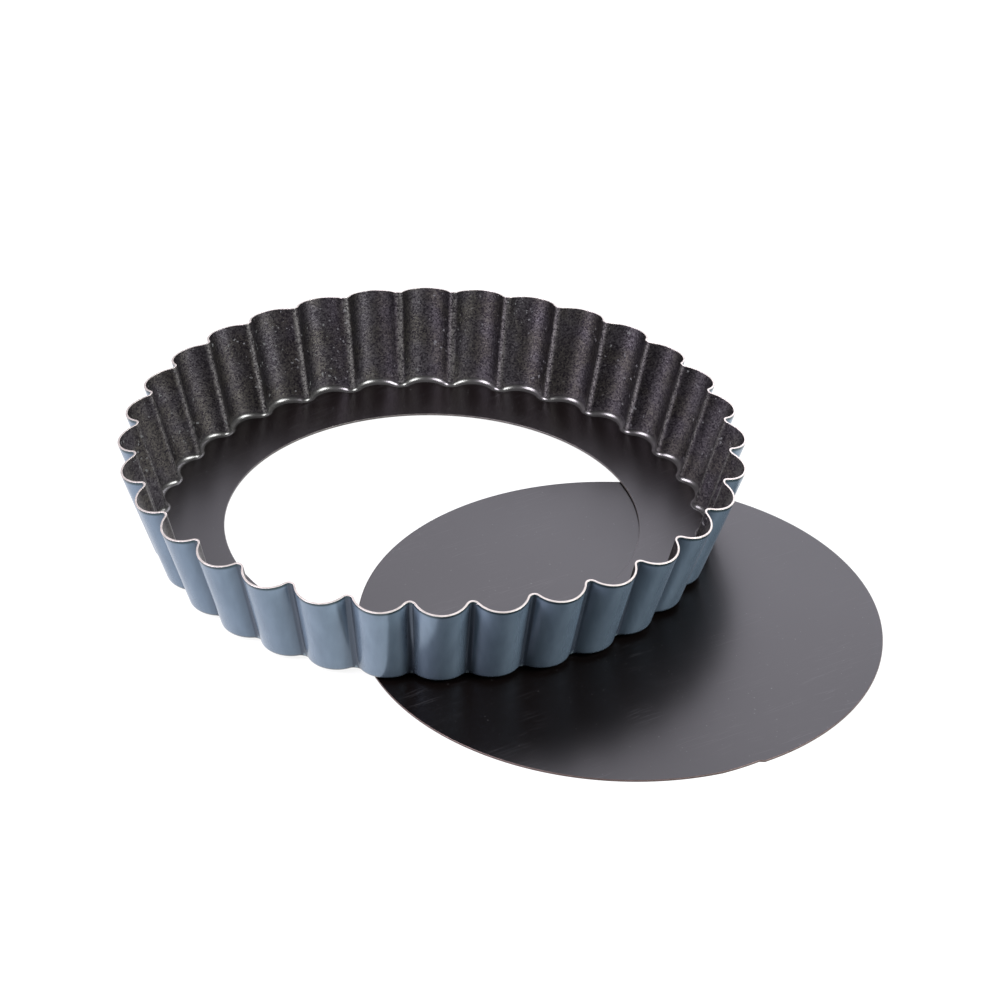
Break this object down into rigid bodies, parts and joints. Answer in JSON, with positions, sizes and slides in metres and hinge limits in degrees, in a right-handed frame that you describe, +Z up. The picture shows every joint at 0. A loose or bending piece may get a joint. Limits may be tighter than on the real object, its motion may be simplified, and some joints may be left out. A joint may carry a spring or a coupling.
{
  "type": "fluted tart pan with loose base",
  "caption": "Round fluted tart pan with a loose flat base, shown taken apart: the flared ring with its inward ledge stands partly over the base sheet.",
  "frame": {"origin": "centre of the loose base's underside, on the worktop", "axes": "+Z up, +X to the right and -Y towards the viewer; the ring stands towards -X and +Y"},
  "size_m": [0.3018, 0.2937, 0.0424],
  "materials": {
    "ring_lacquer": "satin blue-grey lacquer outside, over pressed steel",
    "nonstick_coat": "satin charcoal non-stick coating with fine light scratches",
    "bare_edge": "sheared bare edge of the sheet"
  },
  "bodies": {
    "base": {"loose_base": "nonstick_coat"},
    "ring": {"fluted_ring": "ring_lacquer"}
  },
  "joints": [
    {"name": "ring_lift", "type": "slide", "parent": "base", "child": "ring", "axis": [0, 0, 1], "range_m": [0, 0.08]}
  ]
}
